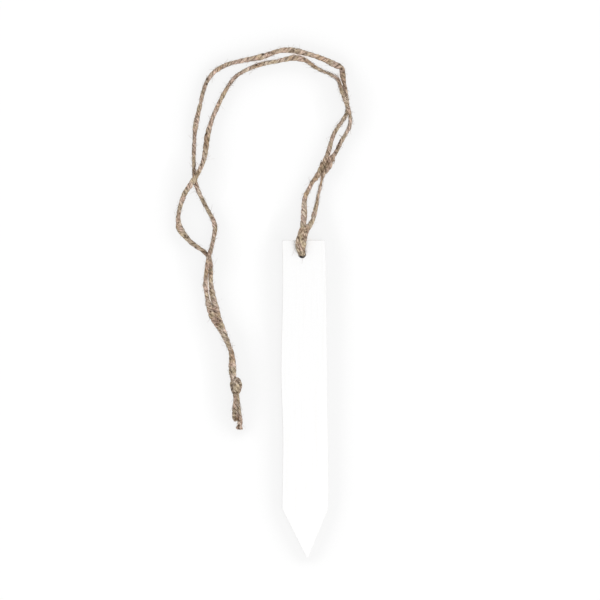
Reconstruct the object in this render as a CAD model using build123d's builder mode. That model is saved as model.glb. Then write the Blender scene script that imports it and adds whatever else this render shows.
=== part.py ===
from build123d import *
import math
import os

os.makedirs("parts", exist_ok=True)

# A plant label stake with a hanging loop of jute twine, lying on a table.
# Sizes are in millimetres. +Z points up from the table and +Y runs from the stake's
# point to its head. The origin is on the table, under the middle of the stake.

# Stake blade, a flat strip with a square head and a cut point
blade_length = 110
blade_thickness = 2
shoulder_width = 15.9
head_width = 14.8
point_length = 17
point_off_middle = 0.8
tip_radius = 0.3
corner_radius = 0.35
arris_radius = 0.25
edge_waver = 0.3

# Cord hole in the head
hole_d = 2.5
hole_to_head = 5
hole_off_middle = 0.4

# Jute twine, and the hitch that pulls it tight through the hole
twine_d = 2
hole_slack = 0.05
rest_gap = 0.02
fold_radius = 0.9
band_to_head = 2.1
band_half_width = 1.5
band_lean = 0.5
throat_reach = 4.3
throat_lean = 1.2
throat_drop = 0.9
crossing_gap = 0.1

# End knot, which pulls both legs together, one on top of the other
knot_length = 5.4
knot_width = 4.2
knot_band_d = 1.4
knot_band_skew = 1
knot_off_side = 0.35
straight_into_knot = 3.6
straight_from_knot = 2.9

# Each long edge of the strip wavers a little, as a cut strip does. A place along the
# edge and an offset, each as a share: of the edge's length, and of the waver.
left_waver_shares = ((0.21, 1), (0.30, 0.9), (0.47, -1), (0.66, -0.3))
right_waver_shares = ((0.14, 0.9), (0.30, 0.7), (0.47, 0.8), (0.68, 1))

# Each arc takes this share of the shorter run beside its corner.
arc_share = 0.45

# A leg that leans on the other one is raised by this share of the twine, and a leg
# comes down from the throat to this share of its height at the route's next place.
lean_share = 0.85
descent_share = 0.6

# Two strands pulled tight fill the hole side by side.
pulled_d = hole_d / 2 - hole_slack
pulled_off = pulled_d / 2 + hole_slack / 4
hole_along = blade_length - hole_to_head
back_up = -pulled_d / 2 - rest_gap

# The stake rests on its tip and on the pulled strands behind its head, so it leans.
lift = pulled_d + rest_gap
rest_lean = math.atan(lift / (hole_along + fold_radius))
blade_middle = (blade_length * math.cos(rest_lean) - blade_thickness * math.sin(rest_lean)) / 2
blade_plane = Plane(
    origin=(0, -blade_middle, 0),
    x_dir=(1, 0, 0),
    z_dir=(0, -math.sin(rest_lean), math.cos(rest_lean)),
)
front_plane = blade_plane.offset(blade_thickness)

# The rounded tip is the end of the blade, so its sharp corner lies a little beyond.
half_point_angle = math.atan(shoulder_width / 2 / point_length)
sharp_corner = -tip_radius * (1 / math.sin(half_point_angle) - 1)

left_edge = -shoulder_width / 2
right_edge = shoulder_width / 2
head_right = left_edge + head_width
hole_across = left_edge + head_width / 2 - hole_off_middle


def on_blade(across, along, up):
    """A point given across, along and up from the back of the blade's tip."""
    return blade_plane.from_local_coords(Vector(across, along, up))


def arc_radii(route):
    """The largest arc that each corner of a route allows within its share of the runs."""
    radii = []
    for before, corner, after in zip(route, route[1:], route[2:]):
        run_in = Vector(*corner) - Vector(*before)
        run_out = Vector(*after) - Vector(*corner)
        half_turn = math.radians(run_in.get_angle(run_out)) / 2
        radii.append(arc_share * min(run_in.length, run_out.length) / math.tan(half_turn))
    return radii


def report_route(name, route, solid):
    """Print a route's tightest arc, its longest run, and its volume against its length."""
    runs = [(Vector(*b) - Vector(*a)).length for a, b in zip(route, route[1:])]
    length = solid.volume / (math.pi * twine_d**2 / 4)
    print(name, "smallest radius", round(min(arc_radii(route)), 2), "longest run", round(max(runs), 1),
          "shortest run", round(min(runs), 1), "length by volume", round(length, 1))


def edge_points(foot, head, shares):
    """Points along one long edge, moved sideways by their shares of the waver."""
    points = [foot]
    for along_share, waver_share in shares:
        across = foot[0] + (head[0] - foot[0]) * along_share + edge_waver * waver_share
        points.append((across, foot[1] + (head[1] - foot[1]) * along_share))
    return points + [head]


# Stake blade
shoulder_left = (left_edge, point_length)
shoulder_right = (right_edge, point_length)
head_left_corner = (left_edge, blade_length)
head_right_corner = (head_right, blade_length)
with BuildPart() as stake_blade:
    with BuildSketch(blade_plane):
        with BuildLine():
            Polyline(shoulder_left, (point_off_middle, sharp_corner), shoulder_right)
            Spline(*edge_points(shoulder_right, head_right_corner, right_waver_shares))
            Line(head_right_corner, head_left_corner)
            Spline(*edge_points(shoulder_left, head_left_corner, left_waver_shares))
        make_face()
    extrude(amount=blade_thickness)
    blade_rise = Axis(blade_plane.origin, blade_plane.z_dir)
    blade_run = Axis(blade_plane.origin, blade_plane.y_dir)
    upright_edges = stake_blade.edges().filter_by(blade_rise).sort_by(blade_run)
    fillet(upright_edges[0], radius=tip_radius)
    upright_edges = stake_blade.edges().filter_by(blade_rise).sort_by(blade_run)
    fillet(upright_edges[-2:], radius=corner_radius)
    back_face = stake_blade.faces().sort_by(blade_rise)[0]
    front_face = stake_blade.faces().sort_by(blade_rise)[-1]
    fillet(back_face.edges() + front_face.edges(), radius=arris_radius)
    with Locations(front_plane):
        with Locations((hole_across, hole_along)):
            Hole(radius=hole_d / 2)
stake_blade.part.label = "stake_blade"
export_step(stake_blade.part, "parts/stake_blade.step")

# Places on the hitch: the mouth of the hole, the head's edge and the throat, where the
# legs come out from under the band.
throat_up = blade_thickness + twine_d / 2
mouth_up = blade_thickness + pulled_d / 2
face_half = twine_d / 2 + crossing_gap / 2
throat_along = blade_length + throat_reach
band_along = blade_length + band_to_head
fold_start = hole_along + pulled_d + fold_radius / 2
throat_middle = on_blade(hole_across + throat_lean, throat_along, throat_up - throat_drop)

# Twine legs. Each route is a list of places measured from the middle of the hitch's
# throat: to the right, towards the head's end, and the height of the twine's middle
# above the table. A leg lies on the table, or over the other leg where they cross.
flat = twine_d / 2
over = flat + twine_d + crossing_gap
leaning = flat + twine_d * lean_share
halfway = (flat + over) / 2
low = flat + twine_d / 4
start_up = throat_middle.Z
first_up = start_up * descent_share

left_places = [
    (-face_half, 0, start_up),
    (-0.4, 4.9, first_up),
    (-0.6, 9.9, flat),
    (0.9, 14.0, flat),
    (3.3, 18.2, flat),
    (5.4, 21.5, flat),
    (7.4, 24.9, flat),
    (8.6, 28.6, flat),
    (9.8, 32.8, flat),
    (12.0, 36.3, flat),
    (14.2, 39.6, flat),
    (14.9, 42.9, flat),
    (14.3, 46.7, flat),
    (13.6, 50.2, flat),
    (13.1, 53.6, flat),
    (12.5, 56.4, flat),
    (9.7, 57.1, flat),
    (5.7, 58.5, flat),
    (0.7, 60.2, flat),
    (-5.0, 61.6, flat),
    (-9.7, 61.3, flat),
    (-15.1, 59.5, flat),
    (-21.7, 58.2, flat),
    (-28.3, 56.3, flat),
    (-33.0, 53.0, flat),
    (-35.1, 48.4, flat),
    (-36.5, 42.9, flat),
    (-38.1, 35.9, flat),
    (-38.8, 28.6, flat),
    (-38.9, 21.7, flat),
    (-38.2, 15.5, flat),
    (-36.1, 10.8, flat),
    (-33.5, 5.6, flat),
    (-31.4, 1.2, flat),
    (-31.6, -3.5, halfway),
    (-32.8, -7.8, over),
    (-34.1, -12.0, over),
    (-34.7, -16.0, halfway),
    (-34.8, -20.0, low),
    (-34.4, -23.6, halfway),
    (-33.3, -26.9, over),
    (-31.0, -30.6, over),
    (-28.3, -34.6, leaning),
    (-26.6, -38.7, leaning),
    (-26.2, -42.8, over),
]
right_places = [
    (face_half, 0, start_up),
    (2.1, 3.4, first_up),
    (3.5, 7.0, low),
    (4.4, 11.3, flat),
    (5.3, 15.6, flat),
    (6.5, 19.2, flat),
    (8.5, 22.6, flat),
    (10.2, 25.9, flat),
    (12.0, 29.0, flat),
    (13.4, 32.3, flat),
    (14.9, 35.2, low),
    (15.8, 38.2, halfway),
    (15.2, 41.0, over),
    (14.0, 43.8, over),
    (12.9, 46.7, leaning),
    (12.0, 49.7, halfway),
    (10.8, 51.9, low),
    (8.0, 53.3, flat),
    (4.2, 55.4, flat),
    (0.2, 57.8, flat),
    (-4.2, 59.2, flat),
    (-9.2, 58.2, flat),
    (-14.4, 57.1, flat),
    (-20.0, 55.0, flat),
    (-24.8, 52.1, flat),
    (-27.6, 48.3, flat),
    (-29.9, 43.6, flat),
    (-31.9, 38.4, flat),
    (-33.8, 32.8, flat),
    (-34.8, 27.3, low),
    (-35.6, 23.1, halfway),
    (-37.0, 19.6, over),
    (-39.2, 15.1, over),
    (-41.5, 11.8, halfway),
    (-43.2, 8.3, low),
    (-44.2, 4.0, flat),
    (-43.6, -0.3, flat),
    (-41.5, -3.5, flat),
    (-38.5, -6.3, flat),
    (-35.6, -8.3, flat),
    (-33.3, -10.9, flat),
    (-32.8, -14.8, flat),
    (-32.6, -19.3, flat),
    (-32.1, -23.6, flat),
    (-31.6, -27.6, flat),
    (-31.3, -31.6, flat),
    (-29.9, -35.6, flat),
    (-27.6, -39.6, flat),
    (-26.0, -44.2, flat),
]


def on_table(places):
    """Route points on the table for places measured from the hitch's throat."""
    return [Vector(throat_middle.X + x, throat_middle.Y + y, z) for x, y, z in places]


# Both legs run straight into the knot, and both tails run straight out of it.
knot_place = (-25.1, -52.3, 0)
knot_heading = (0.9, -5.3, 0)
knot_run = Vector(*knot_heading).normalized()
knot_start = on_table([knot_place])[0]
knot_end = knot_start + knot_run * knot_length
knot_plane = Plane(origin=knot_start, x_dir=(-knot_run.Y, knot_run.X, 0), z_dir=knot_run)


def beside_knot(end, run, height):
    """A point on the line through the knot, a run away from one of its ends."""
    return end + knot_run * run + Vector(0, 0, height)




left_route = on_table(left_places) + [
    beside_knot(knot_start, -straight_into_knot, over),
    beside_knot(knot_start, 0, over),
]
right_route = on_table(right_places) + [
    beside_knot(knot_start, -straight_into_knot, flat),
    beside_knot(knot_start, 0, flat),
]
short_tail_places = [
    (-24.4, -63.6, leaning),
    (-24.6, -66.9, leaning),
]
long_tail_places = [
    (-22.9, -65.9, flat),
    (-23.0, -70.2, flat),
]
short_tail_route = [
    beside_knot(knot_end, 0, over),
    beside_knot(knot_end, straight_from_knot, over),
] + on_table(short_tail_places)
long_tail_route = [
    beside_knot(knot_end, 0, flat),
    beside_knot(knot_end, straight_into_knot, flat),
] + on_table(long_tail_places)

# Twine hitch: a fold of the twine comes out of the hole behind, goes up over the head's
# edge and closes over both legs, which lie on the front from the hole to the edge.


def fold_side(side):
    """One half of the pulled fold, from the front of the hole to the top of the band."""
    return [
        on_blade(hole_across + side * pulled_off, fold_start, mouth_up),
        on_blade(hole_across + side * pulled_off, hole_along, mouth_up),
        on_blade(hole_across + side * pulled_off, hole_along, back_up),
        on_blade(hole_across + side * band_half_width, band_along - pulled_d / 2, back_up),
        on_blade(hole_across + band_lean + side * band_half_width, band_along, throat_up + twine_d / 2),
    ]


fold_route = fold_side(-1) + fold_side(1)[::-1]
with BuildPart() as twine_hitch:
    with BuildLine() as fold_path:
        FilletPolyline(*fold_route, radius=fold_radius)
    with BuildSketch(Plane(origin=fold_path.line @ 0, z_dir=fold_path.line % 0)):
        Circle(pulled_d / 2)
    sweep()
    for side, route in ((-1, left_route), (1, right_route)):
        mouth = on_blade(hole_across + side * pulled_off, fold_start, mouth_up)
        edge = on_blade(hole_across + side * face_half, blade_length - arris_radius, throat_up)
        with BuildSketch(Plane(origin=mouth, z_dir=blade_plane.y_dir)):
            Circle(pulled_d / 2)
        with BuildSketch(Plane(origin=edge, z_dir=blade_plane.y_dir)):
            Circle(twine_d / 2)
        loft()
        with BuildSketch(Plane(origin=edge, z_dir=blade_plane.y_dir)):
            Circle(twine_d / 2)
        with BuildSketch(Plane(origin=route[0], z_dir=route[1] - route[0])):
            Circle(twine_d / 2)
        loft()
twine_hitch.part.label = "twine_hitch"
export_step(twine_hitch.part, "parts/twine_hitch.step")

with BuildPart() as twine_leg_left:
    with BuildLine() as left_path:
        FilletPolyline(*left_route, radius=arc_radii(left_route))
    with BuildSketch(Plane(origin=left_path.line @ 0, z_dir=left_path.line % 0)):
        Circle(twine_d / 2)
    sweep()
report_route("twine_leg_left", left_route, twine_leg_left.part)
twine_leg_left.part.label = "twine_leg_left"
export_step(twine_leg_left.part, "parts/twine_leg_left.step")

with BuildPart() as twine_leg_right:
    with BuildLine() as right_path:
        FilletPolyline(*right_route, radius=arc_radii(right_route))
    with BuildSketch(Plane(origin=right_path.line @ 0, z_dir=right_path.line % 0)):
        Circle(twine_d / 2)
    sweep()
report_route("twine_leg_right", right_route, twine_leg_right.part)
twine_leg_right.part.label = "twine_leg_right"
export_step(twine_leg_right.part, "parts/twine_leg_right.step")

# Tails, the two ends of the twine below the knot
with BuildPart() as tail_short:
    with BuildLine() as short_path:
        FilletPolyline(*short_tail_route, radius=arc_radii(short_tail_route))
    with BuildSketch(Plane(origin=short_path.line @ 0, z_dir=short_path.line % 0)):
        Circle(twine_d / 2)
    sweep()
report_route("tail_short", short_tail_route, tail_short.part)
tail_short.part.label = "tail_short"
export_step(tail_short.part, "parts/tail_short.step")

with BuildPart() as tail_long:
    with BuildLine() as long_path:
        FilletPolyline(*long_tail_route, radius=arc_radii(long_tail_route))
    with BuildSketch(Plane(origin=long_path.line @ 0, z_dir=long_path.line % 0)):
        Circle(twine_d / 2)
    sweep()
report_route("tail_long", long_tail_route, tail_long.part)
tail_long.part.label = "tail_long"
export_step(tail_long.part, "parts/tail_long.step")

# End knot: both legs are drawn into one bundle that swells to the middle of the knot,
# with a band of twine over the top of it.
stack_middle = (flat + over) / 2
stack_height = over - flat
belly_width = knot_width - knot_band_d / 2
band_side = knot_width / 2 - knot_band_d / 2
band_top = over + knot_band_d / 2
band_bottom = knot_band_d / 2


def on_knot(across, height, run):
    """A point given across the knot, above the table and along the knot."""
    return knot_plane.from_local_coords(Vector(knot_off_side + across, height, run))


band_route = [
    on_knot(-band_side, band_bottom, knot_length / 2 - knot_band_skew),
    on_knot(-band_side, band_top, knot_length / 2 - knot_band_skew / 2),
    on_knot(band_side, band_top, knot_length / 2 + knot_band_skew / 2),
    on_knot(band_side, band_bottom, knot_length / 2 + knot_band_skew),
]
with BuildPart() as end_knot:
    with BuildSketch(knot_plane):
        with Locations((0, stack_middle)):
            SlotCenterToCenter(stack_height, twine_d, rotation=90)
    with BuildSketch(knot_plane.offset(knot_length / 2)):
        with Locations((knot_off_side, stack_middle)):
            SlotCenterToCenter(stack_height + twine_d - belly_width, belly_width, rotation=90)
    with BuildSketch(knot_plane.offset(knot_length)):
        with Locations((0, stack_middle)):
            SlotCenterToCenter(stack_height, twine_d, rotation=90)
    loft()
    with BuildLine() as band_path:
        FilletPolyline(*band_route, radius=knot_band_d)
    with BuildSketch(Plane(origin=band_path.line @ 0, z_dir=band_path.line % 0)):
        Circle(knot_band_d / 2)
    sweep()
end_knot.part.label = "end_knot"
export_step(end_knot.part, "parts/end_knot.step")
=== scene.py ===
"""Plant label stake with a hanging loop of jute twine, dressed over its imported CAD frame.

Laid out as a Blender add-on. Sizes are in metres in the frame's own axes: +Z up from the
table, +Y from the stake's point to its head, the origin under the middle of the stake.
"""
import math

import bpy
import numpy as np
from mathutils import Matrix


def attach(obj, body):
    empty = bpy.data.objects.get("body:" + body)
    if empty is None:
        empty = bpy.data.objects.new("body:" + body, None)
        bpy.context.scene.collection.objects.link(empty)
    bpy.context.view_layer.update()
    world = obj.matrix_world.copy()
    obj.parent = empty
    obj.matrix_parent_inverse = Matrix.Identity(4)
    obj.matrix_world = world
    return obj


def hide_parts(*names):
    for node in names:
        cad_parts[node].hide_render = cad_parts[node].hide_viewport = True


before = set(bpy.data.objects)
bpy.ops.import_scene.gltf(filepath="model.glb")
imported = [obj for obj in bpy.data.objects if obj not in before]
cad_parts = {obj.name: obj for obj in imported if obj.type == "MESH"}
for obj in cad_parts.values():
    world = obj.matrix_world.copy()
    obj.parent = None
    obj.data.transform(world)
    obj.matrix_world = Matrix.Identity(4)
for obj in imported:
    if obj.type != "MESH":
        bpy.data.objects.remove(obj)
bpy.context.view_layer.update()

bl_info = {
    "name": "Plant label stake",
    "version": (1, 0, 0),
    "blender": (4, 5, 0),
    "location": "3D View > Sidebar > Plant label",
    "description": "Dresses a painted label stake and its jute twine",
    "category": "Object",
}

# These repeat the part's own sizes. The strands behind the stake's head lift its back at
# their place along it, so the stake leans.
STRAND_LIFT = 0.00122
STRAND_ALONG = 0.1059
REST_LEAN = math.atan(STRAND_LIFT / STRAND_ALONG)
BLADE_MIDDLE = 0.054985
BLADE_THICKNESS = 0.002
HOLE_ACROSS = -0.00095
HOLE_ALONG = 0.105
THROAT = (0.00025, 0.059283)
KNOT_START = (-0.02485, 0.006983)
KNOT_RUN = (0.16741, -0.98589)
KNOT_LENGTH = 0.0054

# Where the stake's front can carry a fibre
FRONT_MIDDLE = -0.0005
FRONT_HALF_WIDTH = 0.0078
FRONT_FOOT = -0.036
FRONT_HEAD = 0.0551

# Heights of the twine's middle above the table
FLAT = 0.001
LOW = 0.0015
HALFWAY = 0.00205
LEANING = 0.0027
OVER = 0.0031
START_UP = 0.003417
FIRST_UP = 0.00205

# A ply's section, in shares of the twine's width: how far its middle stands off, and its
# half sizes away from the twine's middle and round it
PLY_OFF_SHARE = 0.17
PLY_DEEP_SHARE = 0.32
PLY_BROAD_SHARE = 0.41
PLY_SIDES = 18
# The length in which the ridges of a ply wind round it once
RIDGE_TURN = 0.0055

# Shortest and longest waves of what varies along the twine
LAY_WAVES = (0.004, 0.012)
DRIFT_WAVES = (0.02, 0.06)
LUMP_WAVES = (0.003, 0.011)
RIDGE_WAVES = (0.002, 0.006)
CREASE_SHADE_WAVES = (0.002, 0.008)
TONE_WAVES = (0.006, 0.03)
WIDTH_WAVES = (0.003, 0.012)

# How thin each leg is pulled in the hole: runs from its start, and shares of its width
PULLED_RUNS = (0, 0.002, 0.0045)
PULLED_SHARES = (0.62, 0.75, 1)
# How far the ends are rounded
CUT_ROUNDING = 0.0003
CORE_ROUNDING = 0.0006
KNOT_ROUNDING = 0.0004
# The reach of the fold's widest stretch, and what the fold and the knot go round
FOLD_REACH = 0.0028
FOLD_INSIDE = (0, 0.1085, 0.0012)
KNOT_INSIDE = (KNOT_LENGTH / 2, 0, 0.002)

# Where a single fibre starts and ends above the table
FIBRE_START_UP = 0.0013
FIBRE_END_UP = 0.0009
FIBRE_RINGS = 5
# The end of a leg that its lying fibres leave free, and the tuft there
FREE_END = 0.0026
TUFT = 0.0025
TUFT_FIBRES = 40
LYING_TO_RAISED = 17
# How much further on the map of the second ply, and of each next fibre, starts, and the
# distance around a fibre in its map
PLY_MAP_STEP = 0.4
FIBRE_MAP_STEP = 0.0007
FIBRE_AROUND = 0.0002

# Distances at which each of these starts to show and shows in full: the card's painted shade
# and the bare wood darkened as painted shade, from the middle of the hole, and the card's
# painted tint of light bounced off the twine, beside the stake and beyond its head
HOLE_SHADE = (0.0022, 0.0015)
HOLE_RIM = (0.00136, 0.00127)
BESIDE_STAKE = (0.0088, 0.01)
BEYOND_HEAD = (0.0545, 0.0555)

CARD_HALF = 1.5
CARD_SQUARES = 12
# The camera's sensor, in millimetres
SENSOR_WIDTH = 36
# Each lamp's place, size and share of the power, and the point that both aim at
LAMPS = {"soft_lamp": ((0.46, -0.44, 0.70), 0.6, 0.7), "fill_lamp": ((-0.12, 0.14, 0.90), 1.1, 0.3)}
LAMP_AIM = (0, 0.04, 0)

# Places along both legs, measured from the middle of the hitch's throat: to the right,
# towards the head's end, the height above the table, and the share of the twine's width
LEFT_PLACES = (
    (-0.00095, 0, START_UP, 1.15), (-0.00074, 0.0021, LEANING, 1.3), (-0.00047, 0.0049, FIRST_UP, 1.35),
    (-0.00056, 0.0079, LOW, 1.08), (-0.0003, 0.01095, FLAT, 0.95), (0.0015, 0.0141, FLAT, 0.93),
    (0.00208, 0.01565, FLAT, 0.8), (0.0033, 0.017, FLAT, 1), (0.0043, 0.0184, FLAT, 1.05),
    (0.0052, 0.0201, FLAT, 1.28), (0.0061, 0.0219, FLAT, 1.28), (0.007, 0.0236, FLAT, 1.18),
    (0.0076, 0.02535, FLAT, 1), (0.0085, 0.0286, FLAT, 0.9), (0.00976, 0.03277, FLAT, 0.8),
    (0.01212, 0.03625, FLAT, 0.8), (0.01445, 0.0396, FLAT, 0.72), (0.0146, 0.0429, FLAT, 0.82),
    (0.01395, 0.0467, FLAT, 0.82), (0.0134, 0.0502, FLAT, 0.8), (0.01275, 0.0535, FLAT, 1.28),
    (0.01265, 0.05566, FLAT, 1.15), (0.0099, 0.05667, FLAT, 1.38), (0.00598, 0.05868, FLAT, 1.03),
    (0.00075, 0.0604, FLAT, 1.08), (-0.005, 0.06178, FLAT, 1.25), (-0.00975, 0.06145, FLAT, 0.95),
    (-0.01501, 0.05922, FLAT, 1.22), (-0.0217, 0.05812, FLAT, 0.98), (-0.02835, 0.05645, FLAT, 0.87),
    (-0.03307, 0.05308, FLAT, 0.98), (-0.0353, 0.0484, FLAT, 0.68), (-0.0365, 0.0429, FLAT, 0.88),
    (-0.03825, 0.0359, FLAT, 1.08), (-0.0387, 0.0286, FLAT, 0.71), (-0.03885, 0.0217, FLAT, 0.73),
    (-0.0383, 0.0154, FLAT, 0.85), (-0.03635, 0.0107, FLAT, 0.92), (-0.03355, 0.00555, FLAT, 0.74),
    (-0.03118, 0.00122, FLAT, 1.07), (-0.03177, -0.0035, HALFWAY, 0.8), (-0.03278, -0.00777, OVER, 0.84),
    (-0.03389, -0.01137, OVER, 0.88), (-0.03437, -0.0148, HALFWAY, 0.87), (-0.03467, -0.0182, LOW, 0.87),
    (-0.0348, -0.0202, LOW, 1.02), (-0.03455, -0.0219, FLAT, 0.86), (-0.0341, -0.0249, FLAT, 0.95),
    (-0.0335, -0.0268, FLAT, 1.3), (-0.033, -0.0288, FLAT, 1.38), (-0.0321, -0.0314, LOW, 1.26),
    (-0.0305, -0.0342, LOW, 1.02), (-0.02875, -0.0369, HALFWAY, 0.82), (-0.0272, -0.03975, LEANING, 0.85),
    (-0.0258, -0.0425, OVER, 0.97), (-0.025, -0.0455, OVER, 1), (-0.02485, -0.049, OVER, 1.03),
)
RIGHT_PLACES = (
    (0.001, 0.0001, START_UP, 1), (0.00185, 0.0015, LEANING, 1), (0.00252, 0.00279, LEANING, 0.87),
    (0.00286, 0.00414, FIRST_UP, 1.15), (0.00355, 0.0069, LOW, 0.82), (0.004, 0.009, LOW, 0.68),
    (0.00445, 0.0115, FLAT, 0.53), (0.00545, 0.0156, FLAT, 0.5), (0.0057, 0.0174, FLAT, 0.62),
    (0.0062, 0.0188, FLAT, 1), (0.00735, 0.0202, LOW, 1.28), (0.0082, 0.0219, LOW, 1.32),
    (0.0086, 0.0231, LOW, 1.15), (0.0091, 0.0243, FLAT, 1.12), (0.0104, 0.0259, FLAT, 0.85),
    (0.0119, 0.0292, FLAT, 0.87), (0.01365, 0.0322, FLAT, 0.8), (0.01535, 0.03505, LOW, 0.68),
    (0.0156, 0.0382, HALFWAY, 0.65), (0.0148, 0.041, OVER, 0.78), (0.0138, 0.04375, OVER, 0.85),
    (0.01265, 0.04665, LEANING, 0.82), (0.0119, 0.0496, HALFWAY, 0.75), (0.01092, 0.05202, LOW, 0.6),
    (0.0081, 0.05346, FLAT, 0.6), (0.00401, 0.0551, FLAT, 0.6), (0.0003, 0.058, FLAT, 0.98),
    (-0.0017, 0.0586, FLAT, 1.1), (-0.0042, 0.0591, FLAT, 1.25), (-0.00913, 0.05793, FLAT, 0.82),
    (-0.0144, 0.05705, FLAT, 0.85), (-0.0201, 0.0552, FLAT, 0.88), (-0.02488, 0.05218, FLAT, 0.67),
    (-0.02745, 0.04825, FLAT, 0.73), (-0.02985, 0.0436, FLAT, 0.94), (-0.03216, 0.03851, FLAT, 0.82),
    (-0.03398, 0.03282, FLAT, 1.2), (-0.0346, 0.02725, LOW, 1.17), (-0.0353, 0.02305, HALFWAY, 0.97),
    (-0.03685, 0.0195, OVER, 0.95), (-0.03945, 0.01528, OVER, 1.15), (-0.04188, 0.01204, HALFWAY, 1.14),
    (-0.0433, 0.0083, LOW, 0.86), (-0.04435, 0.004, FLAT, 0.87), (-0.04375, -0.0003, FLAT, 1.5),
    (-0.04145, -0.0034, FLAT, 1.1), (-0.0384, -0.0062, FLAT, 0.94), (-0.03529, -0.00798, FLAT, 0.88),
    (-0.03303, -0.0108, FLAT, 0.9), (-0.03291, -0.0148, FLAT, 0.87), (-0.0329, -0.0185, FLAT, 0.95),
    (-0.03248, -0.0222, FLAT, 1.1), (-0.0319, -0.0249, FLAT, 1.2), (-0.03135, -0.0268, FLAT, 1.32),
    (-0.03085, -0.0288, FLAT, 1.35), (-0.0301, -0.0314, FLAT, 1.2), (-0.0289, -0.0342, FLAT, 0.98),
    (-0.0277, -0.0373, FLAT, 0.8), (-0.02675, -0.0402, FLAT, 0.97), (-0.02589, -0.043, FLAT, 1),
    (-0.02567, -0.046, FLAT, 1), (-0.02595, -0.0493, FLAT, 1.05),
)
SHORT_TAIL_PLACES = (
    (-0.0245, -0.0611, LEANING, 0.75), (-0.02455, -0.0632, LEANING, 1.15),
    (-0.0245, -0.0649, LEANING, 1.22), (-0.0242, -0.0671, LEANING, 0.95),
)
LONG_TAIL_PLACES = (
    (-0.0234, -0.0611, FLAT, 0.72), (-0.02315, -0.0632, FLAT, 0.8), (-0.02288, -0.0653, FLAT, 0.88),
    (-0.0227, -0.0673, FLAT, 1.15), (-0.023, -0.07, FLAT, 1.35),
)
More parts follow.
